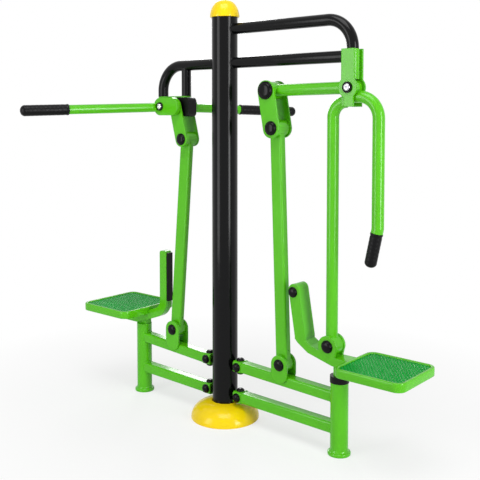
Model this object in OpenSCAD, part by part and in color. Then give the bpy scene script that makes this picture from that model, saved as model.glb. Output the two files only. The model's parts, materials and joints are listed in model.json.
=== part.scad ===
// Outdoor chest press machine with a press station and a bar station on one post.
// Millimetres. Origin at the post's centre on the floor, Z up, X along the rails.

/* [Post] */
// Post diameter
post_d = 114.3; // [100:0.1:130]
// Post wall thickness
post_wall = 4; // [3:0.5:8]
// Height of the post's top over the upper right arm's centre
post_over = 53; // [48:1:70]
// Height of the dome cap over the post
cap_h = 78; // [60:1:100]
// Cap diameter
cap_d = 131; // [120:1:150]
// Base cover diameter
cover_d = 308; // [280:1:340]
// Base cover height
cover_h = 78; // [60:1:100]
// Base plate diameter
plate_d = 250; // [220:1:270]
// Base plate thickness
plate_t = 12; // [8:1:20]
// Anchor hole diameter
anchor_d = 18; // [14:1:22]
// Anchor circle diameter
anchor_pcd = 190; // [170:1:210]

/* [Arms] */
// Diameter of the black tubes
tube_d = 48; // [42:1:52]
// Tube wall thickness
tube_wall = 3; // [2:0.5:5]
// Centre height of the upper right arm
arm_z = 1742; // [1720:1:1760]
// Drop from the upper arm's centre to the lower arms' centre
arm_gap = 148; // [140:1:156]
// Bend radius of the upper right arm
arm_bend = 116; // [100:1:130]
// Bend radius of the left arm
left_bend = 115; // [100:1:130]
// X of the left arm's drop
left_drop_x = -389; // [-400:1:-380]
// X of the left strut
strut_x = -237; // [-245:1:-230]
// Strut diameter
strut_d = 44; // [38:1:48]

/* [Rails] */
// Rail width
rail_w = 52; // [46:1:56]
// Rail height
rail_h = 46; // [38:1:48]
// Centre height of the upper rails at the post
rail_up_z = 250; // [244:1:256]
// Centre height of the lower rails at the post
rail_low_z = 113; // [108:1:118]
// Fall of the upper right rail towards its seat
fall_up = 17; // [0:1:20]
// Fall of the lower right rail towards its seat
fall_low = 8; // [0:1:12]
// Rise of the upper left rail towards its seat
rise_up = 23; // [0:1:26]
// Rise of the lower left rail towards its seat
rise_low = 9; // [0:1:12]
// X where the rails start
rail_x = 114; // [112:1:126]
// X where the collars start
collar_x = 70; // [66:1:76]
// Collar width
collar_w = 56; // [54:1:62]
// Collar height
collar_h = 50; // [46:1:54]

/* [Seats] */
// Seat post diameter
seat_post_d = 73; // [66:1:80]
// Distance of the right seat post inwards from the main pivot
post_in = 48; // [44:1:52]
// X of the left seat post
left_post_x = -533; // [-545:1:-520]
// Top of the right seat post
right_post_top = 295; // [290:1:300]
// Foot flange diameter
flange_d = 94; // [86:1:110]
// Foot flange thickness
flange_t = 14; // [10:1:18]
// Height of the collar on the right seat post
ring_h = 27; // [22:1:30]
// Spindle diameter between the right seat post and its arm
spindle_d = 50; // [44:1:56]
// Width of the right seat arm
sarm_w = 70; // [64:1:74]
// Depth of the right seat arm's upright in the side view
sarm_d = 52; // [46:1:54]
// Depth of the right seat arm's run
run_d = 34; // [30:1:36]
// Width of the left seat arm
larm_w = 36; // [32:1:44]
// Depth of the left seat arm
larm_d = 44; // [40:1:46]
// X of the left seat arm's upright
larm_x = -381; // [-386:1:-376]
// Top of the left seat arm
larm_top = 715; // [690:1:730]
// Height of the left seat arm's run
left_run_z = 360; // [356:1:364]
// Gap between the right seat post's centre and the seat
seat_back = 56; // [52:1:60]
// Right seat length
rseat_l = 299; // [280:1:310]
// Right seat width
rseat_w = 290; // [270:1:310]
// Right seat top
rseat_top = 400; // [398:1:404]
// Left seat inner edge
lseat_x0 = -487; // [-490:1:-484]
// Left seat length
lseat_l = 318; // [300:1:330]
// Left seat width
lseat_w = 340; // [310:1:350]
// Left seat top
lseat_top = 427; // [426:1:432]
// Height of the seats' rims
rim_h = 36; // [34:1:38]
// Corner radius of the seats
seat_r = 38; // [30:1:60]

/* [Press linkage] */
// X of the main pivot
bx = 660; // [655:1:665]
// Drop from the lower arm's centre to the main pivot
pivot_drop = 122; // [118:1:126]
// Distance of the tie tube's outer bolt inwards from the main pivot
tie_len = 394; // [388:1:400]
// Drop of the tie tube's outer bolt from the main pivot
tie_drop = 4; // [0:1:8]
// Distance of the rod's top bolt outwards from the tie tube's bolt
link_out = 29; // [26:1:32]
// Drop of the rod's top bolt from the tie tube's bolt
link_drop = 158; // [152:1:164]
// Distance of the rod's foot bolt outwards from the tie tube's bolt
foot_out = 65; // [62:1:68]
// Height of the right rod's foot bolt over the upper rail's centre at the post
foot_up = 61; // [60:1:66]
// Bolt diameter
pin_d = 20; // [16:1:22]
// Tie tube diameter
tie_d = 50; // [46:1:50]
// Distance of the fixed stay inwards from the main pivot
stay_in = 86; // [84:1:88]
// Drop of the stay's top from the main pivot
stay_drop = 55; // [54:1:60]
// Bend radius of the stay
stay_bend = 62; // [56:1:64]
// Distance of the lever's outer leg outwards from the main pivot
leg_out = 120; // [114:1:128]
// Drop of the lever's top from the main pivot
leg_drop = 36; // [34:1:38]
// Bend radius of the lever
leg_bend = 86; // [80:1:92]
// Length of the lever's leg from its top to its knee
leg_l = 506; // [480:1:530]
// Length of the press grip
pgrip_l = 140; // [120:1:150]
// Grip diameter
grip_d = 50; // [46:1:54]
// Rod width in the side view
rod_w = 58; // [54:1:58]
// Rod thickness
rod_t = 36; // [32:1:38]

/* [Bar linkage] */
// X of the rocker's pivot
lbx = -343; // [-346:1:-340]
// Drop from the lower arms' centre to the rocker's pivot
rocker_drop = 189; // [186:1:192]
// Length of the rocker
rocker_l = 72; // [70:1:76]
// Distance of the left rod's top bolt outwards from the rocker's end
llink_out = 39; // [36:1:42]
// Drop of the left rod's top bolt from the rocker's end
llink_drop = 151; // [146:1:156]
// Distance of the left rod's foot bolt outwards from the rocker's pivot
lfoot_out = 38; // [36:1:40]
// Height of the left rod's foot bolt over the upper rail's centre at the post
lfoot_up = 99; // [96:1:102]
// Left rod width in the side view
lrod_w = 64; // [58:1:66]
// Left rod thickness
lrod_t = 28; // [26:1:32]
// Bar diameter
bar_d = 42; // [38:1:44]
// Drop of the bar's middle from the rocker's pivot
bar_drop = 2; // [0:1:6]
// Angle by which each half of the bar sinks towards its grip
bar_sag = 1.6; // [0:0.2:3]
// Angle of the bar from the rails
bar_a = 70; // [66:1:74]
// Half the bar's length
bar_half = 706; // [680:1:720]
// Length of each bar grip
bgrip_l = 212; // [190:1:230]
// Length of the bar grip on the far side
far_grip_l = 331; // [300:1:350]
// Diameter of the bar grips
bgrip_d = 50; // [46:1:54]

/* [Hidden] */
$fn = 64;
post_r = post_d / 2;
tube_r = tube_d / 2;
bore_r = tube_r - tube_wall;
pin_r = pin_d / 2;
hold_r = pin_r + 0.15;
run_r = pin_r + 0.3;
green = [0.33, 0.75, 0.16];
yellow = [0.98, 0.82, 0.1];
black = [0.06, 0.06, 0.07];
steel = [0.7, 0.7, 0.72];
mat_green = [0.03, 0.5, 0.24];

post_top = arm_z + post_over;
arm_low_z = arm_z - arm_gap;
bz = arm_low_z - pivot_drop;
ax = bx - tie_len;
az = bz - tie_drop;
cx = ax + link_out;
cz = az - link_drop;
gx = ax + foot_out;
gz = rail_up_z + foot_up;
stay_x = bx - stay_in;
stay_z = bz - stay_drop;
leg_x = bx + leg_out;
loop_z = bz - leg_drop;
barrel_r = 40;
br_x0 = bx - 29;
br_x1 = bx + 30;
br_top = arm_low_z + 28;
br_in = tube_r + 2;
br_out = br_in + 8;
core_z = bz + 32;

right_post_x = bx - post_in;
rseat_x0 = right_post_x + seat_back;
rseat_x1 = rseat_x0 + rseat_l;
run_z = rseat_top - rim_h + run_d / 2;
s1 = [bx - 256, run_z + 253];
s2z = run_z + 57;
arm_top = [bx - 252, run_z + 262];
arm_kink = [bx - 219, run_z + 71];
arm_low = [bx - 219, run_z + 59];
arm_mid = [bx - 174, run_z + 30];
arm_flat = [bx - 60, run_z];

lseat_x1 = lseat_x0 - lseat_l;
larm_bend = 68;
larm_slope = 20;
larm_end = lseat_x1 + 32;

lbz = arm_low_z - rocker_drop;
lax = lbx + rocker_l;
laz = lbz;
lcx = lax + llink_out;
lcz = laz - llink_drop;
lgx = lbx + lfoot_out;
lgz = rail_up_z + lfoot_up;
bar_z = lbz - bar_drop;
head_z0 = lbz + 42;
head_z1 = head_z0 + 6;

// Cylinder along Y from y0 to y1
module ycyl(x, z, r, y0, y1) {
  translate([x, y1, z]) rotate([90, 0, 0]) cylinder(r = r, h = y1 - y0);
}

// Cylinder along X from x0 to x1
module xcyl(x0, x1, z, r) {
  translate([x0, 0, z]) rotate([0, 90, 0]) cylinder(r = r, h = x1 - x0);
}

// Cylinder along Z from z0 to z1
module zcyl(x, z0, z1, r) {
  translate([x, 0, z0]) cylinder(r = r, h = z1 - z0);
}

// Bend in the XZ plane round (x, z), from angle a0 over angle a
module bend(x, z, big, r, a0, a) {
  translate([x, 0, z]) rotate([90, 0, 0]) rotate([0, 0, a0])
    rotate_extrude(angle = a) translate([big, 0]) circle(r = r);
}

// Cylinder in the XZ plane from p to q
module slant(p, q, r) {
  translate([p[0], 0, p[1]]) rotate([0, atan2(q[0] - p[0], q[1] - p[1]), 0])
    cylinder(r = r, h = norm(q - p));
}

// Rounded rectangle, centred
module rrect(w, h, r) {
  square([w - 2 * r, h], center = true);
  square([w, h - 2 * r], center = true);
  for (sx = [-1, 1]) for (sy = [-1, 1])
    translate([sx * (w / 2 - r), sy * (h / 2 - r)]) circle(r = r);
}

// Side view of a strip of width w through the points p, with a circle on all but the last
module strip(p, w) {
  for (i = [0:len(p) - 2]) {
    d = p[i + 1] - p[i];
    translate(p[i]) rotate([0, 0, atan2(d[1], d[0])]) {
      circle(r = w / 2);
      translate([0, -w / 2]) square([norm(d), w]);
    }
  }
}

// Plate in the XZ plane from p to q with round ends, between y0 and y1
module plate(p, q, w, y0, y1) {
  d = q - p;
  translate([p[0], y1, p[1]]) rotate([0, -atan2(d[1], d[0]), 0]) rotate([90, 0, 0])
    linear_extrude(y1 - y0) {
      circle(r = w / 2);
      translate([norm(d), 0]) circle(r = w / 2);
      translate([0, -w / 2]) square([norm(d), w]);
    }
}

// Cap with a low dome, on the face at y, pointing to the side s
module ycap(x, z, r, y, h, s) {
  translate([x, y, z]) rotate([-90 * s, 0, 0]) {
    cylinder(r = r, h = h * 0.6);
    translate([0, 0, h * 0.6]) cylinder(r1 = r, r2 = r * 0.72, h = h * 0.4);
  }
}

module post() {
  color(black) difference() {
    zcyl(0, plate_t, post_top, post_r);
    zcyl(0, plate_t - 1, post_top + 1, post_r - post_wall);
  }
}

// Bell of the cap as [share of the radius, share of the height]
bell = [[1, 0], [1, 0.16], [0.96, 0.3], [0.89, 0.48], [0.78, 0.66], [0.64, 0.81],
  [0.46, 0.92], [0.25, 0.98], [0, 1]];

module post_cap() {
  color(yellow) translate([0, 0, post_top]) rotate_extrude() {
    polygon(concat([[0, 0]], [for (p = bell) [p[0] * cap_d / 2, p[1] * cap_h]]));
    translate([0, -20]) square([post_r - post_wall - 0.2, 20]);
  }
}

module base_plate() {
  color(steel) difference() {
    cylinder(d = plate_d, h = plate_t);
    for (a = [45:90:315]) rotate([0, 0, a])
      translate([anchor_pcd / 2, 0, -1]) cylinder(d = anchor_d, h = plate_t + 2);
  }
}

// Profile of the base dome: from the floor in to the hole round the post
function dome(out, h) = [for (a = [0:9:90])
  [post_r + 0.4 + (out - post_r - 0.4) * cos(a), h * sin(a)]];

module base_cover() {
  inner = dome(cover_d / 2 - 5, cover_h - 5);
  color(yellow) rotate_extrude()
    polygon(concat(dome(cover_d / 2, cover_h), [for (i = [10:-1:0]) inner[i]]));
}

module arm_upper_right() {
  color(black) difference() {
    union() {
      xcyl(0, bx + 2 - arm_bend, arm_z, tube_r);
      bend(bx + 2 - arm_bend, arm_z - arm_bend, arm_bend, tube_r, 0, 90);
      zcyl(bx + 2, br_top, arm_z - arm_bend, tube_r);
    }
    xcyl(-1, bx + 2 - arm_bend, arm_z, bore_r);
    bend(bx + 2 - arm_bend, arm_z - arm_bend, arm_bend, bore_r, 0, 90);
    zcyl(bx + 2, br_top - 1, arm_z - arm_bend, bore_r);
    zcyl(0, arm_z - 60, arm_z + 60, post_r);
  }
}

module arm_lower_right() {
  color(black) difference() {
    xcyl(0, bx + 2, arm_low_z, tube_r);
    xcyl(-1, bx + 3, arm_low_z, bore_r);
    zcyl(0, arm_low_z - 60, arm_low_z + 60, post_r);
    zcyl(bx + 2, arm_low_z - 60, arm_low_z + 60, br_in + 0.1);
  }
}

module arm_left() {
  color(black) difference() {
    union() {
      xcyl(left_drop_x + left_bend, 0, arm_low_z, tube_r);
      bend(left_drop_x + left_bend, arm_low_z - left_bend, left_bend, tube_r, 90, 90);
      zcyl(left_drop_x, head_z1, arm_low_z - left_bend, tube_r);
    }
    xcyl(left_drop_x + left_bend, 1, arm_low_z, bore_r);
    bend(left_drop_x + left_bend, arm_low_z - left_bend, left_bend, bore_r, 90, 90);
    zcyl(left_drop_x, head_z1 - 1, arm_low_z - left_bend, bore_r);
    zcyl(0, arm_low_z - 60, arm_low_z + 60, post_r);
  }
}

module strut_left() {
  color(black) difference() {
    zcyl(strut_x, head_z1, arm_low_z, strut_d / 2);
    zcyl(strut_x, head_z1 - 1, arm_low_z + 1, strut_d / 2 - tube_wall);
    xcyl(strut_x - 40, strut_x + 30, arm_low_z, tube_r);
  }
}

module hanger_bracket() {
  color(green) difference() {
    union() {
      zcyl(bx + 2, core_z, br_top, br_in);
      for (s = [0, 1]) mirror([0, s, 0]) {
        translate([br_x0, br_in - 1, core_z])
          cube([br_x1 - br_x0, br_out - br_in + 1, br_top - core_z]);
        translate([br_x0, br_in, bz]) cube([br_x1 - br_x0, br_out - br_in, core_z - bz]);
        translate([br_x0 + 13, br_in, stay_z - 20])
          cube([br_x1 - br_x0 - 17, br_out - br_in, bz - stay_z + 20]);
        ycyl(bx, bz, 42, br_in, br_out);
      }
    }
    ycyl(bx, bz, hold_r, -br_out - 1, br_out + 1);
  }
}

module head_left() {
  color(green) difference() {
    union() {
      translate([(left_drop_x + strut_x) / 2, 0, head_z0]) linear_extrude(head_z1 - head_z0)
        rrect(strut_x - left_drop_x + 46, 46, 22.9);
      translate([lbx - 30, -12, lbz]) cube([60, 24, head_z0 - lbz + 1]);
      ycyl(lbx, lbz, 30, -12, 12);
    }
    ycyl(lbx, lbz, run_r, -13, 13);
  }
}

module each_rail_end() {
  for (m = [0, 1]) mirror([m, 0, 0])
    for (z = [rail_low_z, rail_up_z]) translate([0, 0, z]) children();
}

module rail_stubs() {
  color(black) each_rail_end() difference() {
    translate([30, -17, -15]) cube([rail_x - 30, 34, 30]);
    zcyl(0, -30, 30, post_r);
  }
}

module rail_collars() {
  color(green) each_rail_end() difference() {
    translate([collar_x, 0, 0]) rotate([90, 0, 90])
      linear_extrude(rail_x - collar_x) rrect(collar_w, collar_h, 10);
    translate([collar_x - 1, -17, -15]) cube([rail_x - collar_x + 2, 34, 30]);
  }
}

// Caps on both sides and on top, and below the upper rails where the dome leaves room
module rail_bolts() {
  color(black) for (m = [0, 1]) mirror([m, 0, 0])
    for (z = [rail_low_z, rail_up_z]) {
      for (s = [-1, 1]) ycap(collar_x + 22, z, 20, s * collar_w / 2, 14, s);
      for (s = z > rail_low_z ? [-1, 1] : [1])
        translate([collar_x + 22, 0, z + s * collar_h / 2]) rotate([90 - 90 * s, 0, 0]) {
          cylinder(r = 18, h = 7);
          translate([0, 0, 7]) cylinder(r1 = 18, r2 = 12, h = 5);
        }
    }
}

// Rail from the collar at height z to the post at px, where it ends dz higher
module rail(z, px, dz) {
  l = abs(px) - rail_x;
  a = atan2(dz, l);
  color(green) mirror([px < 0 ? 1 : 0, 0, 0]) difference() {
    translate([rail_x, 0, z]) rotate([0, -a, 0]) translate([-6, 0, 0]) rotate([90, 0, 90])
      linear_extrude(l / cos(a) + 6) difference() {
        rrect(rail_w, rail_h, 9);
        rrect(rail_w - 6, rail_h - 6, 6);
      }
    translate([rail_x - 40, -50, z - 50]) cube([40, 100, 100]);
    zcyl(abs(px), z - 60, z + 80, seat_post_d / 2 + 0.1);
  }
}

module rail_upper_right() { rail(rail_up_z, right_post_x, -fall_up); }
module rail_lower_right() { rail(rail_low_z, right_post_x, -fall_low); }
module rail_upper_left() { rail(rail_up_z, left_post_x, rise_up); }
module rail_lower_left() { rail(rail_low_z, left_post_x, rise_low); }

module seat_post(x, top) {
  difference() {
    zcyl(x, flange_t, top, seat_post_d / 2);
    zcyl(x, flange_t - 1, top + 1, seat_post_d / 2 - 3);
  }
}

module seat_post_right() { color(green) seat_post(right_post_x, right_post_top); }

// The left post has a closed top with a saddle under the seat arm
module seat_post_left() {
  top = left_run_z - larm_d / 2;
  color(green) difference() {
    union() {
      seat_post(left_post_x, top);
      zcyl(left_post_x, top - 6, top, seat_post_d / 2);
      translate([left_post_x - 30, -larm_w / 2, top - 1]) cube([60, larm_w, 32]);
    }
    translate([0, 0, 0.15]) rotate([90, 0, 0]) translate([0, 0, -1.5 * larm_w])
      linear_extrude(3 * larm_w) left_side(-0.15);
  }
}

module foot_flanges() {
  color(green) for (x = [left_post_x, right_post_x]) zcyl(x, 0, flange_t, flange_d / 2);
}

// Collar and plug in the right seat post, round the spindle
module seat_ring() {
  color(black) difference() {
    union() {
      zcyl(right_post_x, right_post_top, right_post_top + ring_h, seat_post_d / 2 + 2.5);
      zcyl(right_post_x, right_post_top - 40, right_post_top + 1, seat_post_d / 2 - 3.15);
    }
    zcyl(right_post_x, right_post_top - 41, right_post_top + ring_h + 1, spindle_d / 2 + 0.15);
  }
}

// Side view of the right seat arm, inset by e: upright, slope and run
module right_side(e) {
  strip([arm_top, arm_kink, arm_low], sarm_d - 2 * e);
  strip([arm_low, arm_mid, arm_flat, [rseat_x0 - e, run_z]], run_d - 2 * e);
}

module seat_arm_right() {
  color(green) difference() {
    union() {
      difference() {
        translate([0, sarm_w / 2, 0]) rotate([90, 0, 0]) linear_extrude(sarm_w) right_side(0);
        translate([0, sarm_w / 2 - 4, 0]) rotate([90, 0, 0])
          linear_extrude(sarm_w - 8) right_side(4);
        ycyl(stay_x, s2z, barrel_r + 0.15, -tube_r - 1, tube_r + 1);
      }
      for (s = [0, 1]) mirror([0, s, 0]) {
        ycyl(stay_x, s2z, barrel_r + 3, tube_r, sarm_w / 2);
        translate([stay_x, sarm_w / 2, s2z]) rotate([90, 0, 0])
          linear_extrude(sarm_w / 2 - tube_r)
            polygon([[-43, 0], [-36, -48], [32, -48], [42, -6], [42, 0]]);
      }
      zcyl(right_post_x, right_post_top - 40, run_z - run_d / 2 + 2, spindle_d / 2);
      translate([rseat_x0 - 24, -30, run_z - run_d / 2]) cube([rseat_l - 40, 60, 13.6]);
    }
    ycyl(stay_x, s2z, hold_r, -sarm_w, sarm_w);
  }
}

// Side view of the left seat arm, inset by e: upright, bend, slope and run
module left_side(e) {
  w = larm_d - 2 * e;
  r = 12 - e;
  a = 90 - larm_slope;
  c = [larm_x - larm_bend, left_run_z + 113.6];
  t = c + larm_bend * [cos(a), -sin(a)];
  f = [t[0] - (t[1] - left_run_z) / tan(larm_slope), left_run_z];
  translate([larm_x - w / 2, c[1]]) square([w, larm_top - r - e - c[1]]);
  translate([larm_x - w / 2 + r, larm_top - e - r]) square([w - 2 * r, r]);
  for (s = [-1, 1]) translate([larm_x + s * (w / 2 - r), larm_top - e - r]) circle(r = r);
  translate(c) intersection() {
    difference() {
      circle(r = larm_bend + w / 2);
      circle(r = larm_bend - w / 2);
    }
    polygon([[0, 0], [200, 0], [200, -200], 200 * [cos(a), -sin(a)]]);
  }
  strip([t, f], w);
  strip([f, [larm_end + e, left_run_z]], w);
}

module seat_arm_left() {
  color(green) rotate([90, 0, 0]) difference() {
    translate([0, 0, -larm_w / 2]) linear_extrude(larm_w) left_side(0);
    translate([0, 0, -larm_w / 2 + 4]) linear_extrude(larm_w - 8) left_side(4);
  }
}

// Seat tray with a pocket for the mat above and a pocket below
module seat_frame(x0, x1, w, top) {
  l = abs(x1 - x0);
  translate([(x0 + x1) / 2, 0, top - rim_h]) difference() {
    linear_extrude(rim_h) rrect(l, w, seat_r);
    translate([0, 0, rim_h - 16]) linear_extrude(17) rrect(l - 28, w - 28, seat_r - 12);
    translate([0, 0, -1]) linear_extrude(rim_h - 21) rrect(l - 28, w - 28, seat_r - 12);
  }
}

module seat_frame_right() {
  color(green) difference() {
    seat_frame(rseat_x0, rseat_x1, rseat_w, rseat_top);
    translate([rseat_x0 - 1, -30.3, rseat_top - rim_h - 1]) cube([rseat_l - 60, 60.6, 14.9]);
  }
}

// The left tray has a spine that stands on the arm, and a notch for the arm's slope
module seat_frame_left() {
  arm_z1 = left_run_z + larm_d / 2;
  color(green) difference() {
    union() {
      seat_frame(lseat_x0, lseat_x1, lseat_w, lseat_top);
      translate([lseat_x1 + 40, -25, arm_z1]) cube([lseat_l - 60, 50, lseat_top - 19 - arm_z1]);
    }
    translate([0, larm_w / 2 + 0.3, -0.3]) rotate([90, 0, 0])
      linear_extrude(larm_w + 0.6) left_side(-0.3);
  }
}

module seat_mat(x0, x1, w, top) {
  color(mat_green) translate([(x0 + x1) / 2, 0, top - 16])
    linear_extrude(14) rrect(abs(x1 - x0) - 28.6, w - 28.6, seat_r - 12.3);
}

module seat_mat_right() { seat_mat(rseat_x0, rseat_x1, rseat_w, rseat_top); }
module seat_mat_left() { seat_mat(lseat_x0, lseat_x1, lseat_w, lseat_top); }

// Two ears on the sides of the upper rail at height zr, with a hole for the foot bolt
module clevis(x, z, zr) {
  color(green) for (s = [0, 1]) mirror([0, s, 0]) difference() {
    plate([x, z], [x, zr + 31], 82, rail_w / 2, rail_w / 2 + 8);
    ycyl(x, z, hold_r, 0, 60);
  }
}

// Height of a rail's centre at x, for a rail that ends dz higher at px
function rail_at(x, z, px, dz) = z + dz * (abs(x) - rail_x) / (abs(px) - rail_x);

module clevis_right() { clevis(gx, gz, rail_at(gx, rail_up_z, right_post_x, -fall_up)); }
module clevis_left() { clevis(lgx, lgz, rail_at(lgx, rail_up_z, left_post_x, rise_up)); }

module stay() {
  color(green) difference() {
    union() {
      zcyl(stay_x, s2z, stay_z - stay_bend, tube_r);
      bend(stay_x + stay_bend, stay_z - stay_bend, stay_bend, tube_r, 90, 90);
      ycyl(stay_x, s2z, barrel_r, -tube_r, tube_r);
      translate([br_x0 - 4, -br_in, stay_z - 18]) cube([25, 2 * br_in, 36]);
    }
    zcyl(stay_x, s2z, stay_z - stay_bend, bore_r);
    bend(stay_x + stay_bend, stay_z - stay_bend, stay_bend, bore_r, 90, 90);
    ycyl(stay_x, s2z, hold_r, -40, 40);
  }
}

// Bolt through two outer faces at y0, with a cap on each side
module bolt(x, z, y0, r, h) {
  ycyl(x, z, pin_r, -y0, y0);
  for (s = [-1, 1]) ycap(x, z, r, s * y0, h, s);
}

module main_pin() { color(steel) bolt(bx, bz, br_out, 22, 12); }
module foot_pin_right() { color(black) bolt(gx, gz, rail_w / 2 + 8, 25, 12); }
module foot_pin_left() { color(black) bolt(lgx, lgz, rail_w / 2 + 8, 25, 12); }

module arm_bolts() {
  color(black) {
    for (s = [-1, 1]) ycap(s1[0], s1[1], 22, s * sarm_w / 2, 12, s);
    bolt(stay_x, s2z, sarm_w / 2, 26, 14);
  }
}

// Rubber strip on the left seat arm's inner face
module buffer() {
  color(black) translate([larm_x + larm_d / 2, -larm_w / 2 + 2, larm_top - 240])
    cube([10, larm_w - 4, 232]);
}

// Grip of diameter d and length l along +Z with a round end, bored from its foot
module grip_body(d, l, bore) {
  difference() {
    rotate_extrude() polygon(concat([[0, 0], [d / 2, 0]],
      [for (a = [0:15:90]) [(d / 2) * cos(a), l - d * 0.4 + d * 0.4 * sin(a)]]));
    translate([0, 0, -1]) cylinder(r = bore, h = l - d * 0.4 + 1);
  }
}

leg_p = [leg_x, loop_z - leg_l];
lean = 12.4;
lean_dir = [-sin(lean), -cos(lean)];
grip_a = leg_p + 18 * lean_dir;
grip_b = grip_a + (pgrip_l - grip_d * 0.4 - 0.5) * lean_dir;

module press_lever() {
  color(green) difference() {
    union() {
      ycyl(bx, bz, 30, -25, 25);
      slant([bx, bz], [ax, az], tie_d / 2);
      ycyl(ax, az, 37.5, -37.4, 37.4);
      xcyl(bx - 5, leg_x - leg_bend, loop_z, tube_r);
      bend(leg_x - leg_bend, loop_z - leg_bend, leg_bend, tube_r, 0, 90);
      zcyl(leg_x, leg_p[1], loop_z - leg_bend, tube_r);
      translate([leg_p[0], 0, leg_p[1]]) sphere(r = tube_r);
      slant(leg_p, grip_a, tube_r);
      slant(grip_a, grip_b, 16);
    }
    slant([bx - 34, bz - 0.4], [ax + 42, az + 0.4], tie_d / 2 - 4);
    ycyl(bx, bz, run_r, -60, 60);
    ycyl(ax, az, hold_r, -60, 60);
    xcyl(bx + 20, leg_x - leg_bend, loop_z, bore_r);
    bend(leg_x - leg_bend, loop_z - leg_bend, leg_bend, bore_r, 0, 90);
    zcyl(leg_x, leg_p[1] + 6, loop_z - leg_bend, bore_r);
    zcyl(ax + 60, az - 40, az - 10, 3);
    zcyl(leg_x - leg_bend, loop_z - 40, loop_z - 10, 3);
  }
}

module lever_pin() { color(black) bolt(ax, az, 46.6, 38, 15); }

module press_grip() {
  color(black) translate([grip_a[0], 0, grip_a[1]]) rotate([0, 180 + lean, 0])
    grip_body(grip_d, pgrip_l, 16.15);
}

module link_plates_right() {
  color(green) for (s = [0, 1]) mirror([0, s, 0]) difference() {
    plate([ax, az], [cx, cz], 84, 38, 46);
    ycyl(ax, az, run_r, 30, 60);
  }
}

module link_caps_right() {
  color(black) for (s = [-1, 1]) ycap(cx, cz, 30, s * 46, 14, s);
}

// Flat oval rod of size w by t from p to q with a barrel at p and an eye at q
module rod(p, q, w, t, rt, yt, re) {
  difference() {
    union() {
      translate([q[0], 0, q[1]]) rotate([0, atan2(p[0] - q[0], p[1] - q[1]), 0])
        difference() {
          linear_extrude(norm(p - q)) rrect(w, t, 8);
          translate([0, 0, 50]) linear_extrude(norm(p - q) - 110) rrect(w - 8, t - 8, 5);
          translate([0, 0, 60]) rotate([0, 90, 0]) cylinder(r = 3, h = w);
        }
      ycyl(p[0], p[1], rt, -yt, yt);
      ycyl(q[0], q[1], re, -rail_w / 2 + 0.6, rail_w / 2 - 0.6);
    }
    ycyl(q[0], q[1], run_r, -40, 40);
  }
}

module rod_right() { color(green) rod([cx, cz], [gx, gz], rod_w, rod_t, 36, 37, 34); }
module rod_left() { color(green) rod([lcx, lcz], [lgx, lgz], lrod_w, lrod_t, 33, 34, 34); }

// Length of the bar grip on the side s
function grip_l(s) = s > 0 ? far_grip_l : bgrip_l;

// One half of the rocker on the side s before its bores: hub, neck, inner and outer cheek
module rocker_half(s) {
  mirror([0, s > 0 ? 0 : 1, 0]) {
    ycyl(lbx, lbz, 36, 12.6, 34);
    ycyl(lbx, lbz, 26, 33, 45);
    plate([lbx, lbz], [lax, laz], 36, 26, 34);
    plate([lbx, lbz], [lax, laz], 82, 44.5, 68);
  }
  translate([lbx, 0, bar_z]) rotate([0, 0, bar_a + (s > 0 ? 0 : 180)])
    rotate([0, 90 + bar_sag, 0]) {
      translate([0, 0, 60]) cylinder(d = bar_d, h = bar_half - grip_l(s) - 60);
      translate([0, 0, bar_half - grip_l(s) - 10])
        cylinder(r = 16, h = grip_l(s) + 10 - bgrip_d * 0.4 - 0.5);
    }
}

module rocker() {
  color(green) difference() {
    for (s = [-1, 1]) rocker_half(s);
    ycyl(lbx, lbz, hold_r, -100, 100);
    for (s = [-1, 1]) ycyl(lbx, lbz, 20.4, s > 0 ? 68 : -95, s > 0 ? 95 : -68);
    ycyl(lax, laz, hold_r, -60.2, 60.2);
  }
}

module rocker_pin() { color(steel) bolt(lbx, lbz, 68, 20, 12); }
module rocker_end_pin() { color(steel) ycyl(lax, laz, pin_r, -60, 60); }

// Rubber stop between the plates, round the rocker's end bolt
module rubber_block() {
  color(black) difference() {
    translate([lax + 28, 25.8, head_z0 - 44.5]) rotate([90, 0, 0]) linear_extrude(51.6)
      rrect(90, 87, 18);
    ycyl(lax, laz, hold_r, -40, 40);
  }
}

module bar_grips() {
  color(black) for (s = [-1, 1])
    translate([lbx, 0, bar_z]) rotate([0, 0, bar_a + (s > 0 ? 0 : 180)])
      rotate([0, 90 + bar_sag, 0])
        translate([0, 0, bar_half - grip_l(s)]) grip_body(bgrip_d, grip_l(s), 16.15);
}

module link_plates_left() {
  color(green) for (s = [0, 1]) mirror([0, s, 0]) difference() {
    plate([lax, laz], [lcx, lcz], 70, 35, 43);
    ycyl(lax, laz, run_r, 30, 50);
  }
}

module link_caps_left() {
  color(black) for (s = [-1, 1]) ycap(lcx, lcz, 27, s * 43, 12, s);
}

post();
post_cap();
base_cover();
base_plate();
arm_upper_right();
arm_lower_right();
arm_left();
strut_left();
hanger_bracket();
head_left();
rail_stubs();
rail_collars();
rail_bolts();
rail_upper_right();
rail_lower_right();
rail_upper_left();
rail_lower_left();
seat_post_right();
seat_post_left();
foot_flanges();
seat_ring();
seat_arm_right();
seat_arm_left();
seat_frame_right();
seat_frame_left();
seat_mat_right();
seat_mat_left();
clevis_right();
clevis_left();
stay();
main_pin();
foot_pin_right();
foot_pin_left();
arm_bolts();
buffer();
press_lever();
lever_pin();
press_grip();
link_plates_right();
link_caps_right();
rod_right();
rocker();
rocker_pin();
rocker_end_pin();
rubber_block();
bar_grips();
link_plates_left();
link_caps_left();
rod_left();
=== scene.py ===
# %% [markdown]
# # Outdoor chest press machine
# This lesson dresses a steel machine from a park. Its working shape comes from CAD, and Blender
# gives it the surfaces and the small rounded pieces that the eye looks for: powder-coated tube,
# moulded plastic, rubber mats and domed bolt caps. All is in metres, with Z up.

# %% Load the frame
import json
import math

import bpy
from mathutils import Matrix, Vector


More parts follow.
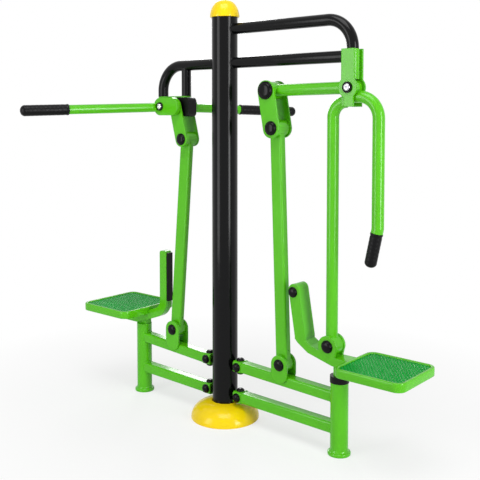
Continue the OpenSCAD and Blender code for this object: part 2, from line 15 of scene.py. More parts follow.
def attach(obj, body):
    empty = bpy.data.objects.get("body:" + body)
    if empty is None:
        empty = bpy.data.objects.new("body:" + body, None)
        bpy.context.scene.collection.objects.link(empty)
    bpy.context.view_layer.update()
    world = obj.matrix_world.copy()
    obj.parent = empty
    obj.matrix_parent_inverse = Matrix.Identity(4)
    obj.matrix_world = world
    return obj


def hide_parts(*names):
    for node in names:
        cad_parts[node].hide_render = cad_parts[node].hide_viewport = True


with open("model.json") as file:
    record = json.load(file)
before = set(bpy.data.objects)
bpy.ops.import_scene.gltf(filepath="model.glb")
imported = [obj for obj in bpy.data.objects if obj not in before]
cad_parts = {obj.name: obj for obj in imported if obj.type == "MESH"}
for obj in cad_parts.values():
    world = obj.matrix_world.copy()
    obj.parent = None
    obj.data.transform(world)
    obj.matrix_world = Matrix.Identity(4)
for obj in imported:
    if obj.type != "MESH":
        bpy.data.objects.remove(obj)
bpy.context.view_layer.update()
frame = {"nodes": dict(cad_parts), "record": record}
nodes = frame["nodes"]

# %% [markdown]
# ## The camera
# The photograph was taken from about eye height, 40 degrees round from the rails' side. A camera
# that is tilted down to take in the feet would make the upright edges lean, so the framing
# comes mostly from a lens shift, as on an architect's camera. A small tilt does the rest,
# because other views keep the shift, and a large one would push the machine out of their frame.

# %% Camera
VIEW_TURN = math.radians(40.213)
VIEW_TILT = math.radians(3.153)
EYE = Vector((2.2831, -2.5957, 1.3624))
LENS, SENSOR, SHIFT = 58.16, 36, -0.17


def add_camera():
    """Place the camera so that it looks along the photograph's direction."""
    bpy.ops.object.camera_add(location=EYE)
    cam = bpy.context.object
    flat = math.cos(VIEW_TILT)
    look = Vector((-math.sin(VIEW_TURN) * flat, math.cos(VIEW_TURN) * flat, -math.sin(VIEW_TILT)))
    cam.rotation_euler = look.to_track_quat("-Z", "Y").to_euler()
    cam.data.lens = LENS
    cam.data.sensor_width = SENSOR
    cam.data.shift_y = SHIFT
    bpy.context.scene.camera = cam
    return cam


camera = add_camera()
print("camera at", tuple(round(v, 3) for v in camera.location))

# %% [markdown]
# ## Light
# A studio photograph has large soft lamps. The world alone would light the machine evenly and
# leave the tubes flat, so two tall softboxes stand low at its sides, where a round tube mirrors
# them to the camera as two long lines. A third hangs high in front, and a weak one fills the
# back. The world is white to the camera and to reflections through Light Path, and much dimmer
# as light, so the backdrop costs no extra light on the paint.

# %% Light Path helper
def light_path_mix(tree, plain, shown):
    """Mix two shaders: plain lights the object, shown is what camera and mirrors see."""
    path = tree.nodes.new("ShaderNodeLightPath")
    seen = path.outputs["Is Camera Ray"]
    for ray in ("Is Glossy Ray", "Is Transmission Ray"):
        add = tree.nodes.new("ShaderNodeMath")
        add.operation = "MAXIMUM"
        tree.links.new(seen, add.inputs[0])
        tree.links.new(path.outputs[ray], add.inputs[1])
        seen = add.outputs[0]
    mix = tree.nodes.new("ShaderNodeMixShader")
    tree.links.new(seen, mix.inputs[0])
    tree.links.new(plain.outputs[0], mix.inputs[1])
    tree.links.new(shown.outputs[0], mix.inputs[2])
    return mix


# %% World
SKY_STRENGTH = 0.21
WHITE = (1, 1, 1, 1)


def build_world():
    """White to the camera, a soft even sky for lighting."""
    world = bpy.context.scene.world or bpy.data.worlds.new("studio")
    bpy.context.scene.world = world
    world.use_nodes = True
    tree = world.node_tree
    tree.nodes.clear()
    sky, white = (tree.nodes.new("ShaderNodeBackground") for _ in range(2))
    for backdrop, strength in ((sky, SKY_STRENGTH), (white, 1.0)):
        backdrop.inputs["Color"].default_value = WHITE
        backdrop.inputs["Strength"].default_value = strength
    mix = light_path_mix(tree, sky, white)
    out = tree.nodes.new("ShaderNodeOutputWorld")
    tree.links.new(mix.outputs[0], out.inputs["Surface"])


build_world()
print("sky strength", SKY_STRENGTH)

# %% Lamps
# Each softbox has its place, the point it looks at, its width and height, and its watts.
SOFTBOXES = {
    "key": ((-1.10, -3.43, 1.4), (0, 0, 1.2), (1.5, 2.7), 57),
    "side": ((4.57, -0.52, 1.5), (0, 0, 1.2), (1.3, 2.8), 128),
    "top": ((0.8, -1.2, 4.3), (0, 0, 0.6), (2.4, 2.0), 74),
    "back": ((-3.0, 3.2, 2.8), (0, 0, 1.0), (0.8, 2.4), 46),
}


def softbox(name, place, aim, size, watts):
    """Add a rectangular area lamp that points at aim."""
    bpy.ops.object.light_add(type="AREA", location=place)
    lamp = bpy.context.object
    lamp.name = name
    lamp.data.shape = "RECTANGLE"
    lamp.data.size, lamp.data.size_y = size
    lamp.data.energy = watts
    lamp.rotation_euler = (Vector(aim) - Vector(place)).to_track_quat("-Z", "Y").to_euler()


for name, (place, aim, size, watts) in SOFTBOXES.items():
    softbox(name, place, aim, size, watts)
print("lamps", len(SOFTBOXES))

# %% [markdown]
# ## The floor
# The photograph's floor is nearly white, with a soft shadow round the feet. A shadow catcher
# would keep the shadow alone, but it needs a compositor to give the white back. A pale diffuse
# plane with some glow mixed in does it in one material. The glow is partial near the post, so
# that the shadow stays, and full further out, so that no horizon shows.

# %% Floor
FLOOR_SIZE = 60
FLOOR_LEVEL = -0.0005  # a hair below the feet, so that the two don't flicker
FLOOR_PALE = (0.9, 0.9, 0.9, 1)
FLOOR_FADE = {"From Min": 0.5, "From Max": 1.8, "To Min": 0.67, "To Max": 1.0}


def floor_material():
    """A diffuse floor whose share of white glow grows with the distance from the post."""
    mat = bpy.data.materials.new("pale_floor")
    mat.use_nodes = True
    tree = mat.node_tree
    tree.nodes.clear()
    soft = tree.nodes.new("ShaderNodeBsdfDiffuse")
    soft.inputs["Color"].default_value = FLOOR_PALE
    glow = tree.nodes.new("ShaderNodeEmission")
    glow.inputs["Strength"].default_value = 1.0
    share = tree.nodes.new("ShaderNodeMixShader")
    away = tree.nodes.new("ShaderNodeVectorMath")
    away.operation = "LENGTH"
    fade = tree.nodes.new("ShaderNodeMapRange")
    for field, value in FLOOR_FADE.items():
        fade.inputs[field].default_value = value
    place = tree.nodes.new("ShaderNodeTexCoord")
    tree.links.new(place.outputs["Object"], away.inputs[0])
    tree.links.new(away.outputs["Value"], fade.inputs["Value"])
    tree.links.new(fade.outputs["Result"], share.inputs[0])
    tree.links.new(soft.outputs[0], share.inputs[1])
    tree.links.new(glow.outputs[0], share.inputs[2])
    mix = light_path_mix(tree, soft, share)
    out = tree.nodes.new("ShaderNodeOutputMaterial")
    tree.links.new(mix.outputs[0], out.inputs["Surface"])
    return mat


bpy.ops.mesh.primitive_plane_add(size=FLOOR_SIZE, location=(0, 0, FLOOR_LEVEL))
floor = bpy.context.object
floor.name = "studio_floor"
floor.data.materials.append(floor_material())
print("floor laid")

# %% [markdown]
# ## Powder coat and moulded plastic
# Powder coat is a thick baked paint. It is glossy, a little uneven like orange peel, and soft at
# every edge. A plain colour would look like a drawing, and a picture texture would need an image
# file. So each finish is made of noise: its colour varies by a few percent over hand-wide
# patches, its roughness over finger-wide ones, and it has a fine bump. The Bevel node rounds the
# sharp CAD edges in the shading.

# %% Noise helpers
def ramp(tree, source, low, high):
    """Map a noise value onto the range low..high."""
    node = tree.nodes.new("ShaderNodeMapRange")
    limits = {"From Min": 0.3, "From Max": 0.7, "To Min": low, "To Max": high}
    for field, value in limits.items():
        node.inputs[field].default_value = value
    tree.links.new(source, node.inputs["Value"])
    return node.outputs["Result"]


def noise(tree, coords, scale, detail=2.0):
    """A noise value on object coordinates."""
    node = tree.nodes.new("ShaderNodeTexNoise")
    node.inputs["Scale"].default_value = scale
    node.inputs["Detail"].default_value = detail
    tree.links.new(coords, node.inputs["Vector"])
    return node.outputs["Fac"]


# %% One finish
PATCH_SCALE = 7.0
TOUCH_SCALE = 38.0
BUMP_DEPTH = 0.001


def patchy_colour(tree, coords, color, vary):
    """A colour that drifts by the share vary over hand-wide patches."""
    mix = tree.nodes.new("ShaderNodeMix")
    mix.data_type = "RGBA"
    mix.inputs["A"].default_value = (*[c * (1 - vary) for c in color], 1)
    mix.inputs["B"].default_value = (*[min(1, c * (1 + vary * 0.6)) for c in color], 1)
    patches = ramp(tree, noise(tree, coords, PATCH_SCALE, 4.0), 0.0, 1.0)
    tree.links.new(patches, mix.inputs["Factor"])
    return mix.outputs["Result"]


def soft_skin(tree, coords, peel, grain, edge):
    """A normal with edges rounded by edge and a fine bump of the strength peel."""
    bevel = tree.nodes.new("ShaderNodeBevel")
    bevel.samples = 6
    bevel.inputs["Radius"].default_value = edge
    bump = tree.nodes.new("ShaderNodeBump")
    bump.inputs["Strength"].default_value = peel
    bump.inputs["Distance"].default_value = BUMP_DEPTH
    tree.links.new(noise(tree, coords, grain, 2.0), bump.inputs["Height"])
    tree.links.new(bevel.outputs["Normal"], bump.inputs["Normal"])
    return bump.outputs["Normal"]


def finish(name, color, rough, metal=0.0, peel=0.02, grain=260.0, edge=0.003, vary=0.06,
           shine=0.5):
    """A procedural finish: patchy colour, patchy roughness, fine bump and soft edges."""
    mat = bpy.data.materials.new(name)
    mat.use_nodes = True
    tree = mat.node_tree
    skin = tree.nodes["Principled BSDF"]
    skin.inputs["Metallic"].default_value = metal
    skin.inputs["Specular IOR Level"].default_value = shine
    coords = tree.nodes.new("ShaderNodeTexCoord").outputs["Object"]
    touch = ramp(tree, noise(tree, coords, TOUCH_SCALE, 3.0), rough * 0.8, rough * 1.25)
    tree.links.new(patchy_colour(tree, coords, color, vary), skin.inputs["Base Color"])
    tree.links.new(touch, skin.inputs["Roughness"])
    tree.links.new(soft_skin(tree, coords, peel, grain, edge), skin.inputs["Normal"])
    return mat


# %% [markdown]
# ## Seven finishes
# The paints are smooth and glossy, the mouldings a little softer, and the rubbers dull with a
# coarse grain. One recipe with a few settings makes them all, so they sit well together. Black
# paint mirrors a white studio more than the eye expects, so its shine is turned down until the
# post reads as black. The main pivots' heads are bare metal.

# %% Finishes
GREEN = (0.094, 0.50, 0.006)
BLACK = (0.002, 0.002, 0.0024)
LEMON = (0.90, 0.64, 0.004)
MAT = (0.002, 0.35, 0.036)
RUBBER = (0.0025, 0.0025, 0.003)
STEEL = (0.62, 0.62, 0.66)
finishes = {
    "green_paint": finish("green_powder_coat", GREEN, 0.15, edge=0.004, shine=0.3),
    "black_paint": finish("black_powder_coat", BLACK, 0.15, peel=0.01, shine=0.165),
    "yellow_plastic": finish("yellow_moulding", LEMON, 0.16, peel=0.01, shine=0.24),
    "bolt_steel": finish("black_cap", BLACK, 0.16, edge=0.001, shine=0.14),
    "mat_rubber": finish("green_mat", MAT, 0.42, peel=0.1, grain=700, vary=0.1, shine=0.11),
    "grip_rubber": finish("black_rubber", RUBBER, 0.36, peel=0.2, grain=900, shine=0.14),
}
bright_steel = finish("bright_bolt", STEEL, 0.2, metal=1.0, peel=0.1, edge=0.0006)


def dress_nodes():
    """Give each CAD node the finish of its slot in the record."""
    for part in frame["record"]["subparts"]:
        piece = nodes[part["node"]]
        for place in piece.material_slots:
            place.material = finishes[part["material_slot"]]
        if not piece.material_slots:
            piece.data.materials.append(finishes[part["material_slot"]])


dress_nodes()
print("finishes", len(finishes) + 1, "on", len(nodes), "nodes")

# %% [markdown]
# ## Turned pieces
# Bolt caps, the post's bell and the grips are all round, as if turned on a lathe. A Screw
# modifier or a spin could turn an outline too, but both leave doubled points where the outline
# meets the axis. Here a disc is added where the piece starts, and its face is extruded up and
# resized again and again, so each step is one ring of the outline and both ends stay closed.

# %% Selection helpers
def deselect():
    """Leave edit mode and select nothing."""
    if bpy.context.mode != "OBJECT":
        bpy.ops.object.mode_set(mode="OBJECT")
    bpy.ops.object.select_all(action="DESELECT")


def only(piece):
    """Select one piece and make it active."""
    deselect()
    piece.select_set(True)
    bpy.context.view_layer.objects.active = piece


# %% Lathe helper
def lathe(name, outline, sides=48):
    """Turn an outline of (radius, height) points round Z, closed at both ends."""
    deselect()
    radius, height = outline[0]
    bpy.ops.mesh.primitive_circle_add(vertices=sides, radius=radius, fill_type="NGON",
                                      location=(0, 0, height))
    piece = bpy.context.object
    piece.name = name
    bpy.ops.object.transform_apply(location=True, rotation=True, scale=True)
    bpy.ops.object.mode_set(mode="EDIT")
    bpy.ops.mesh.select_all(action="SELECT")
    for wide, high in outline[1:]:
        bpy.ops.mesh.extrude_region_move(TRANSFORM_OT_translate={"value": (0, 0, high - height)})
        share = wide / radius
        bpy.ops.transform.resize(value=(share, share, 1), center_override=(0, 0, high))
        radius, height = wide, high
    bpy.ops.mesh.select_all(action="SELECT")
    bpy.ops.mesh.normals_make_consistent(inside=False)
    bpy.ops.object.mode_set(mode="OBJECT")
    bpy.ops.object.shade_smooth_by_angle(angle=math.radians(38))
    return piece


# %% Copy, join and settle helpers
def copy_at(master, place):
    """A copy of a piece with its own mesh, moved there by a matrix."""
    copy = master.copy()
    copy.data = master.data.copy()
    bpy.context.scene.collection.objects.link(copy)
    copy.data.transform(place)
    return copy


def joined(pieces, name):
    """Join several pieces into one."""
    deselect()
    for piece in pieces:
        piece.select_set(True)
    bpy.context.view_layer.objects.active = pieces[0]
    if len(pieces) > 1:
        bpy.ops.object.join()
    pieces[0].name = name
    return pieces[0]


def settle(piece, body, slot, replaced=(), material=None):
    """Give a piece its finish, its body and the CAD nodes that it stands for."""
    piece.data.materials.clear()
    piece.data.materials.append(material or finishes[slot])
    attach(piece, body)
    if replaced:
        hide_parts(*replaced)
    return piece


# %% [markdown]
# ## Bolt caps
# Every black disc on the machine is a plastic cap that snaps over a bolt head: a thin lip on
# the steel, a small groove, then a domed face. Each could be modelled at its own size, but one
# cap is turned with a radius of one and then copied and scaled to each bolt, so the caps look
# like a set from one mould.

# %% Cap master
CAP_OUTLINE = [(1.0, 0.0), (1.0, 0.22), (0.975, 0.30), (0.93, 0.34), (0.90, 0.31), (0.87, 0.34),
               (0.85, 0.52), (0.80, 0.68), (0.70, 0.82), (0.55, 0.92), (0.35, 0.98), (0.1, 1.0)]
cap_master = lathe("cap_master", CAP_OUTLINE, 40)


def side_turn(side):
    """Turn Z towards +Y or -Y."""
    return Matrix.Rotation(math.radians(-90 * side), 4, "X")


def cap_copy(x, z, face, radius, depth, turn=None):
    """One cap on the face at y = face, looking outwards unless turned another way."""
    turn = turn or side_turn(1 if face > 0 else -1)
    place = Matrix.Translation((x, face, z)) @ turn @ Matrix.Diagonal((radius, radius, depth, 1))
    return copy_at(cap_master, place)


print("cap rings", len(CAP_OUTLINE))

# %% Black caps
# Each node has its body and its bolts: x, z, the face's distance from y = 0, radius and depth.
CAPS = {
    "lever_pin": ("press", [(0.266, 1.468, 0.0466, 0.038, 0.015)]),
    "link_caps_right": ("link_right", [(0.295, 1.310, 0.046, 0.030, 0.014)]),
    "link_caps_left": ("link_left", [(-0.232, 1.254, 0.043, 0.027, 0.012)]),
    "foot_pin_right": ("frame", [(0.331, 0.311, 0.034, 0.025, 0.012)]),
    "foot_pin_left": ("frame", [(-0.305, 0.349, 0.034, 0.025, 0.012)]),
    "arm_bolts": ("frame", [(0.404, 0.634, 0.035, 0.022, 0.012),
                            (0.574, 0.438, 0.035, 0.026, 0.014)]),
}
for node, (body, bolts) in CAPS.items():
    made = [cap_copy(x, z, side * face, radius, depth)
            for x, z, face, radius, depth in bolts for side in (-1, 1)]
    settle(joined(made, node + "_domes"), body, "bolt_steel", [node])
print("black caps on", len(CAPS), "nodes")

# %% [markdown]
# ## Rail caps
# Each rail end is clamped to the post by a collar with a bolt through its sides and another
# through its top. The same cap serves, a little smaller. Two loops place them, one for the
# stations and one for the heights, which keeps the four collars alike. The lower collars show
# no cap below, where the yellow dome is close.

# %% Rail caps
COLLAR_X = 0.092
COLLAR_SIDE, SIDE_CAP = 0.028, (0.020, 0.014)
COLLAR_TOP, TOP_CAP = 0.025, (0.018, 0.012)
COLLARS = {0.113: (1,), 0.250: (-1, 1)}  # height: the ways that the upright bolt's caps look
made = []
for side in (-1, 1):
    for z, ways in COLLARS.items():
        for face in (-COLLAR_SIDE, COLLAR_SIDE):
            made.append(cap_copy(side * COLLAR_X, z, face, *SIDE_CAP))
        for way in ways:
            turn = Matrix.Rotation(0 if way > 0 else math.pi, 4, "X")
            made.append(cap_copy(side * COLLAR_X, z + way * COLLAR_TOP, 0, *TOP_CAP, turn))
print("rail caps", len(made))
settle(joined(made, "rail_cap_domes"), "frame", "bolt_steel", ["rail_bolts"])
bpy.data.objects.remove(cap_master)

# %% [markdown]
# ## The two bright bolts
# The main pivots carry a bare steel button head in a black plastic ring. The ring is a turned
# washer, and the head is a low dome with a round socket, which is an inset and a push inwards
# of the top face in edit mode. A boolean would cut the socket as well, but it leaves long thin
# faces that catch the light.

# %% Bolt head
def press_socket(head, wall, deep):
    """Inset the head's top face and push it inwards."""
    only(head)
    bpy.ops.object.mode_set(mode="EDIT")
    bpy.ops.mesh.select_all(action="DESELECT")
    bpy.ops.object.mode_set(mode="OBJECT")
    top = max(head.data.polygons, key=lambda p: p.center.z)
    top.select = True
    bpy.ops.object.mode_set(mode="EDIT")
    bpy.ops.mesh.inset(thickness=wall)
    bpy.ops.mesh.extrude_region_move(TRANSFORM_OT_translate={"value": (0, 0, -deep)})
    bpy.ops.object.mode_set(mode="OBJECT")


RING = [(1, 0), (1, 0.35), (0.94, 0.55), (0.82, 0.6), (0.72, 0.5)]
HEAD = [(0.66, 0.3), (0.66, 0.62), (0.6, 0.8), (0.48, 0.93), (0.3, 1)]


def sized(outline, radius, depth):
    """An outline of shares, brought to a radius and a depth."""
    return [(radius * wide, depth * high) for wide, high in outline]


# %% Bright pivot bolts
def pivot_bolt(name, x, z, face, radius, depth, body, node):
    """A black ring and a bright button head on both sides of a pivot."""
    ring = lathe("ring", sized(RING, radius, depth), 40)
    head = lathe("head", sized(HEAD, radius, depth), 36)
    press_socket(head, radius * 0.06, depth * 0.3)
    places = [Matrix.Translation((x, side * face, z)) @ side_turn(side) for side in (-1, 1)]
    rings = joined([copy_at(ring, place) for place in places], name + "_rings")
    heads = joined([copy_at(head, place) for place in places], name + "_heads")
    for master in (ring, head):
        bpy.data.objects.remove(master)
    settle(rings, body, "bolt_steel", [node])
    settle(heads, body, "bolt_steel", [node], bright_steel)


# Each pivot has its x, z, the face's distance from y = 0, radius, depth, body and CAD node.
PIVOTS = {
    "press_pivot": (0.660, 1.472, 0.034, 0.022, 0.012, "frame", "main_pin"),
    "bar_pivot": (-0.343, 1.405, 0.068, 0.020, 0.012, "bar", "rocker_pin"),
}
for name, pivot in PIVOTS.items():
    pivot_bolt(name, *pivot)
print("pivot bolts", 2 * len(PIVOTS))

# %% [markdown]
# ## The bell and the dome
# Two yellow mouldings close the post: a bell on top, and a wide dome at the floor that hides
# the anchor bolts. A squashed sphere would do from afar, but its rim would be sharp. Their
# gloss is what shows, so both are turned with 96 sides, the bell from an outline and
# the dome from an arc, with a small turned-in lip where it meets the post.

# %% Bell
BELL = [(1, 0), (1.0, 0.05), (0.99, 0.16), (0.965, 0.28), (0.93, 0.40), (0.875, 0.52),
        (0.80, 0.64), (0.70, 0.75), (0.58, 0.85), (0.44, 0.92), (0.28, 0.97), (0.12, 0.995)]
BELL_R, BELL_FOOT, BELL_H = 0.0655, 1.795, 0.078
bell = lathe("post_bell", [(BELL_R * r, BELL_FOOT + BELL_H * h) for r, h in BELL], 96)
settle(bell, "frame", "yellow_plastic", ["post_cap"])
print("bell top", BELL_FOOT + BELL_H)

# %% Dome
DOME_NECK, DOME_REACH, DOME_RISE = 0.0600, 0.094, 0.074
dome_points = [(0.1535, 0.0), (DOME_NECK + DOME_REACH, 0.004)]
for step in range(1, 15):
    lean = math.radians(6 * step)
    dome_points.append((DOME_NECK + DOME_REACH * math.cos(lean),
                        0.002 + DOME_RISE * math.sin(lean)))
dome_points += [(DOME_NECK, 0.0772), (0.0582, 0.0762), (0.0577, 0.073)]
dome = lathe("floor_dome", dome_points, 96)
settle(dome, "frame", "yellow_plastic", ["base_cover"])
print("dome rings", len(dome_points))

# %% [markdown]
# ## Grips
# The black grips are rubber sleeves pushed over the tube, with a raised collar at the inner
# end, shallow bands along it and a rounded tip. Bands painted by a bump would vanish at the
# outline, so they are turned as real steps. The sleeve is made upright, then laid along the
# tube. The bar's far grip is longer than the near one.

# %% Grip
GRIP_R = 0.025
COLLAR_LONG, BAND, TIP = 0.018, 0.0236, 0.020


def grip(name, start, end):
    """A rubber sleeve from start to end, its collar at start."""
    run = Vector(end) - Vector(start)
    long = run.length
    outline = [(0.9, 0), (0.98, 0.001), (1, 0.003), (1, 0.007), (0.95, 0.010), (0.93, 0.014)]
    bands = round(long / BAND)
    step = (long - COLLAR_LONG - TIP - 0.004) / bands
    for i in range(bands):
        at = COLLAR_LONG + step * i
        outline += [(0.955, at), (0.965, at + step * 0.5),
                    (0.955, at + step * 0.86), (0.945, at + step * 0.93)]
    for turn in range(0, 85, 12):
        lean = math.radians(turn)
        outline.append((0.97 * math.cos(lean), long - TIP + TIP * math.sin(lean)))
    piece = lathe(name, [(GRIP_R * wide, high) for wide, high in outline], 48)
    lay = run.to_track_quat("Z", "Y").to_matrix().to_4x4()
    piece.data.transform(Matrix.Translation(start) @ lay)
    return piece


# %% Press grip and bar grips
PRESS_GRIP = Vector((0.7761, 0, 0.9124)), Vector((0.7461, 0, 0.7757))
BAR_AT = Vector((-0.343, 0, 1.403))
BAR_TURN, BAR_SAG = math.radians(70), math.radians(1.6)
BAR_END = 0.706
BAR_GRIP_FROM = {-1: 0.494, 1: 0.375}  # near and far side, along the bar from its middle


def bar_way(side):
    """The direction of the bar's near or far half."""
    flat = side * math.cos(BAR_SAG)
    return Vector((flat * math.cos(BAR_TURN), flat * math.sin(BAR_TURN), -math.sin(BAR_SAG)))


settle(grip("press_grip_rubber", *PRESS_GRIP), "press", "grip_rubber", ["press_grip"])
made = [grip("bar_grip", BAR_AT + bar_way(side) * inner, BAR_AT + bar_way(side) * BAR_END)
        for side, inner in BAR_GRIP_FROM.items()]
print("grips made", 1 + len(made))
settle(joined(made, "bar_grip_rubber"), "bar", "grip_rubber", ["bar_grips"])

# %% [markdown]
# ## Seat pans
# Each seat is a pressed steel pan with a rounded rim, in which a rubber mat lies. It could be
# four walls and a floor joined together, but a pressed sheet has no joints. So the pan starts
# as a box: its four upright edges are bevelled wide, its top and bottom faces are inset and
# pushed in, and a Bevel modifier softens every sharp edge that is left.

# %% Boxes and cuts
def rounded_box(name, low, high, corner):
    """A box with wide rounded upright edges."""
    deselect()
    low, high = Vector(low), Vector(high)
    bpy.ops.mesh.primitive_cube_add(size=1, location=(low + high) / 2)
    piece = bpy.context.object
    piece.name = name
    piece.scale = high - low
    bpy.ops.object.transform_apply(location=True, rotation=True, scale=True)
    bpy.ops.object.mode_set(mode="EDIT")
    bpy.ops.mesh.select_mode(type="EDGE")
    bpy.ops.mesh.select_all(action="DESELECT")
    bpy.ops.object.mode_set(mode="OBJECT")
    for edge in piece.data.edges:
        a, b = (piece.data.vertices[i].co for i in edge.vertices)
        edge.select = abs(a.z - b.z) > 1e-4
    bpy.ops.object.mode_set(mode="EDIT")
    bpy.ops.mesh.bevel(offset=corner, segments=10, affect="EDGES")
    bpy.ops.object.mode_set(mode="OBJECT")
    return piece


def plain_box(low, high, turn=None):
    """A box between two corners, turned if asked."""
    deselect()
    low, high = Vector(low), Vector(high)
    bpy.ops.mesh.primitive_cube_add(size=1, location=(0, 0, 0))
    box = bpy.context.object
    place = Matrix.Translation((low + high) / 2) @ Matrix.Diagonal((*(high - low), 1))
    box.data.transform((turn or Matrix.Identity(4)) @ place)
    return box


def cut_or_add(piece, other, operation):
    """Cut a box out of a piece, or weld it on, and remove the box."""
    only(piece)
    change = piece.modifiers.new(operation, "BOOLEAN")
    change.operation = operation
    change.object = other
    change.solver = "EXACT"
    bpy.ops.object.modifier_apply(modifier=operation)
    bpy.data.objects.remove(other)


# %% One pan
PAN_CORNER = 0.038
RIM = 0.014
TRAY_DEEP, HOLLOW_DEEP = 0.016, 0.014
SOFT_EDGE = 0.0045


def push_flat(piece, top, deep):
    """Inset the top or bottom face by the rim's width and push it into the box."""
    bpy.ops.object.mode_set(mode="EDIT")
    bpy.ops.mesh.select_mode(type="FACE")
    bpy.ops.mesh.select_all(action="DESELECT")
    bpy.ops.object.mode_set(mode="OBJECT")
    sign = 1 if top else -1
    face = max(piece.data.polygons, key=lambda p: (sign * p.normal.z > 0.99, p.area))
    face.select = True
    bpy.ops.object.mode_set(mode="EDIT")
    bpy.ops.mesh.inset(thickness=RIM)
    bpy.ops.mesh.extrude_region_move(TRANSFORM_OT_translate={"value": (0, 0, -sign * deep)})
    bpy.ops.object.mode_set(mode="OBJECT")


def seat_pan(name, x0, x1, half, low, high):
    """A pan with a rim round a tray, and a hollow below."""
    pan = rounded_box(name, (x0, -half, low), (x1, half, high), PAN_CORNER)
    push_flat(pan, True, TRAY_DEEP)
    push_flat(pan, False, HOLLOW_DEEP)
    soften = pan.modifiers.new("soft rim", "BEVEL")
    soften.width = SOFT_EDGE
    soften.segments = 3
    soften.limit_method = "ANGLE"
    soften.angle_limit = math.radians(50)
    only(pan)
    bpy.ops.object.modifier_apply(modifier="soft rim")
    return pan


def finish_pan(pan, node):
    """Smooth the pan and let it stand for its CAD node."""
    only(pan)
    bpy.ops.object.shade_smooth_by_angle(angle=math.radians(35))
    settle(pan, "frame", "green_paint", [node])


# %% The two pans
SEAT_RIGHT = {"x0": 0.668, "x1": 0.967, "half": 0.145, "low": 0.364, "high": 0.400}
SEAT_LEFT = {"x0": -0.805, "x1": -0.487, "half": 0.170, "low": 0.391, "high": 0.427}

# The right seat's arm reaches into a notch in the pan's inner wall.
ARM_NOTCH = (0.660, -0.0303, 0.360), (0.700, 0.0303, 0.3779)
pan = seat_pan("seat_pan_right", **SEAT_RIGHT)
cut_or_add(pan, plain_box(*ARM_NOTCH), "DIFFERENCE")
finish_pan(pan, "seat_frame_right")

# The left pan stands on its arm with a spine, and the arm's slope passes through a notch.
ARM_SLOPE = Matrix.Translation((-0.562, 0, 0.360)) @ Matrix.Rotation(math.radians(-20), 4, "Y")
SPINE = (-0.765, -0.025, 0.382), (-0.507, 0.025, 0.408)
SLOPE_NOTCH = (-0.01, -0.0183, -0.03), (0.16, 0.0183, 0.0223)
pan = seat_pan("seat_pan_left", **SEAT_LEFT)
cut_or_add(pan, plain_box(*SPINE), "UNION")
cut_or_add(pan, plain_box(*SLOPE_NOTCH, ARM_SLOPE), "DIFFERENCE")
finish_pan(pan, "seat_frame_left")
print("pans made", len((SEAT_RIGHT, SEAT_LEFT)))

# %% [markdown]
# ## Seat mats
# A rubber mat with slanting, rope-like ribs lies in each pan, so that nobody slips off when the
# seat is wet. A bump map would look flat from the side. Here the ribs are real relief: a fine
# grid whose points are lifted by a wave, given a thickness by an extrusion, and cut to the
# tray's rounded outline by a boolean.

# %% Ribs
RIB = 0.0125
DEEP = 0.0052
WAVE, SWAY = 0.026, 0.0012
SLANT = 0.785, 0.62  # cosine and sine of the ribs' slant


def rib_height(x, y):
    """Rope-like ribs that run slantwise and wave from side to side."""
    c, s = SLANT
    along = y * c - x * s
    across = x * c + y * s + SWAY * math.sin(math.tau * along / WAVE)
    ridge = 0.5 + 0.5 * math.cos(math.tau * across / RIB)
    twist = 0.8 + 0.2 * math.cos(math.tau * (along + across) / (WAVE / 3))
    return DEEP * ridge ** 0.7 * twist


print("ribs across a mat", round(2 * SEAT_RIGHT["half"] / RIB))

# %% Mats
MAT_GAP = 0.0003
MAT_CORNER = 0.0257
MAT_THICK = 0.0085
GRID = 200
SPARE = 0.01  # how much larger the grid is than the mat


def ribbed_sheet(name, x0, x1, half, height):
    """A fine grid a little larger than the mat, lifted into ribs and given a thickness."""
    deselect()
    bpy.ops.mesh.primitive_grid_add(x_subdivisions=GRID, y_subdivisions=GRID, size=1,
                                    location=((x0 + x1) / 2, 0, height))
    sheet = bpy.context.object
    sheet.name = name
    sheet.scale = (x1 - x0 + SPARE, half * 2 + SPARE, 1)
    bpy.ops.object.transform_apply(location=True, rotation=True, scale=True)
    for point in sheet.data.vertices:
        point.co.z += rib_height(point.co.x, point.co.y)
    bpy.ops.object.mode_set(mode="EDIT")
    bpy.ops.mesh.select_all(action="SELECT")
    bpy.ops.mesh.extrude_region_move(TRANSFORM_OT_translate={"value": (0, 0, -0.02)})
    bpy.ops.mesh.select_all(action="SELECT")
    bpy.ops.mesh.normals_make_consistent(inside=False)
    bpy.ops.object.mode_set(mode="OBJECT")
    return sheet


def seat_mat(name, seat, node):
    """A ribbed rubber mat that fills a seat's tray."""
    inset = RIM + MAT_GAP
    x0, x1, half = seat["x0"] + inset, seat["x1"] - inset, seat["half"] - inset
    base = seat["high"] - TRAY_DEEP
    sheet = ribbed_sheet(name, x0, x1, half, base + MAT_THICK)
    low, high = (x0, -half, base + MAT_GAP), (x1, half, base + 0.03)
    cut_or_add(sheet, rounded_box("cutter", low, high, MAT_CORNER), "INTERSECT")
    only(sheet)
    bpy.ops.object.shade_smooth_by_angle(angle=math.radians(60))
    return settle(sheet, "frame", "mat_rubber", [node])


for label, seat in (("right", SEAT_RIGHT), ("left", SEAT_LEFT)):
    ribs = seat_mat("seat_mat_ribs_" + label, seat, "seat_mat_" + label)
    print(ribs.name, "faces", len(ribs.data.polygons))

# %% [markdown]
# ## Weld beads
# Where a tube meets another it is welded all round, and the paint runs over the bead. A bevel
# on the joint could stand for it, but the two tubes are separate CAD nodes. So a bead is a
# torus whose points are pushed onto the curve where the two shapes meet, squared for the
# rails. A slight ripple keeps it from looking like a gasket.

# %% One bead
BEAD_THICK = 0.0026
RIPPLE, RIPPLES = 0.12, 23


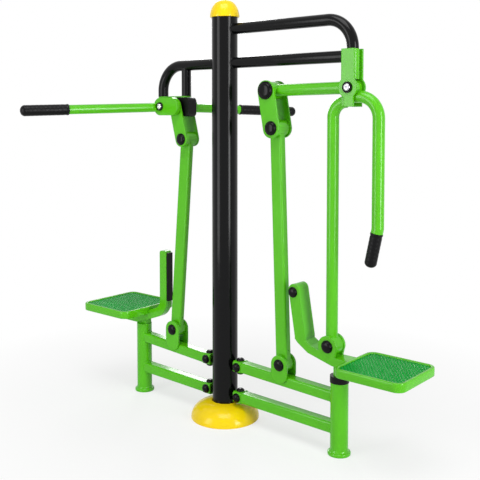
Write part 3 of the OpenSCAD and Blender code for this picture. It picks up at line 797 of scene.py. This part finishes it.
def outline_radius(angle, tube, square):
    """Distance from the tube's axis to its wall: round, or a box with rounded corners."""
    if not square:
        return tube
    half_y, half_z = square
    c, s = abs(math.cos(angle)), abs(math.sin(angle))
    return 1 / ((c / half_y) ** 5 + (s / half_z) ** 5) ** 0.2


def bead(name, tube, post, x, z, way, slot, square=None):
    """A rippled ring where a tube along X meets an upright round post of the radius post."""
    deselect()
    bpy.ops.mesh.primitive_torus_add(major_radius=tube, minor_radius=BEAD_THICK,
                                     major_segments=96, minor_segments=8,
                                     rotation=(0, math.radians(90), 0))
    ring = bpy.context.object
    ring.name = name
    bpy.ops.object.transform_apply(location=True, rotation=True, scale=True)
    for point in ring.data.vertices:
        angle = math.atan2(point.co.z, point.co.y)
        ripple = 1 + RIPPLE * math.sin(angle * RIPPLES)
        here = math.hypot(point.co.y, point.co.z)
        out = (here - tube) * ripple + outline_radius(angle, tube, square)
        point.co.y, point.co.z = out * math.cos(angle), out * math.sin(angle)
        rise = math.sqrt(max(post ** 2 - point.co.y ** 2, 0))
        point.co.x = x + way * rise + point.co.x * ripple
        point.co.z += z
    bpy.ops.object.shade_smooth()
    return settle(ring, "frame", slot)


# %% Beads of the arms and the rails
POST_R, ARM_BEAD = 0.05715, 0.0240
SEAT_POST_R, RAIL_BEAD = 0.0365, 0.0245
RAIL_HALF = 0.0262, 0.0232
ARM_ENDS = {"upper_right": (1.742, 1), "lower_right": (1.594, 1), "left": (1.594, -1)}
RAIL_ENDS = {"right": (0.612, -1, (0.105, 0.233)), "left": (-0.533, 1, (0.122, 0.273))}
beads = [bead("arm_bead_" + label, ARM_BEAD, POST_R, 0, height, way, "black_paint")
         for label, (height, way) in ARM_ENDS.items()]
for label, (x, way, heights) in RAIL_ENDS.items():
    for level, height in zip(("low", "high"), heights):
        beads.append(bead(f"rail_bead_{label}_{level}", RAIL_BEAD, SEAT_POST_R, x, height, way,
                          "green_paint", RAIL_HALF))
print("weld beads", len(beads))

# %% [markdown]
# ## Foot flanges
# Each seat post stands on a round flange with a soft upper edge, which runs up into the post
# in a small fillet. A cylinder with a bevel would miss that hollow curve, so the flange is
# turned once from its outline and copied to the other post.

# %% Foot flanges
FLANGE = [(0.0462, 0.0), (0.047, 0.0015), (0.047, 0.009), (0.0462, 0.0118), (0.0440, 0.0135),
          (0.0405, 0.0140), (0.0388, 0.0158), (0.0376, 0.0190), (0.0368, 0.0225), (0.0360, 0.0230)]
foot = lathe("foot", FLANGE, 72)
made = [copy_at(foot, Matrix.Translation((x, 0, 0))) for x, *_ in RAIL_ENDS.values()]
bpy.data.objects.remove(foot)
print("feet made", len(made))
settle(joined(made, "foot_flange_rounds"), "frame", "green_paint", ["foot_flanges"])

# %% [markdown]
# ## The view transform
# The pieces must not make the machine bigger than the CAD model. The view transform is
# Standard, which shows a colour about as it is written, where a film-like one would fade the
# green and the yellow.

# %% Set the view transform
bpy.context.scene.view_settings.view_transform = "Standard"
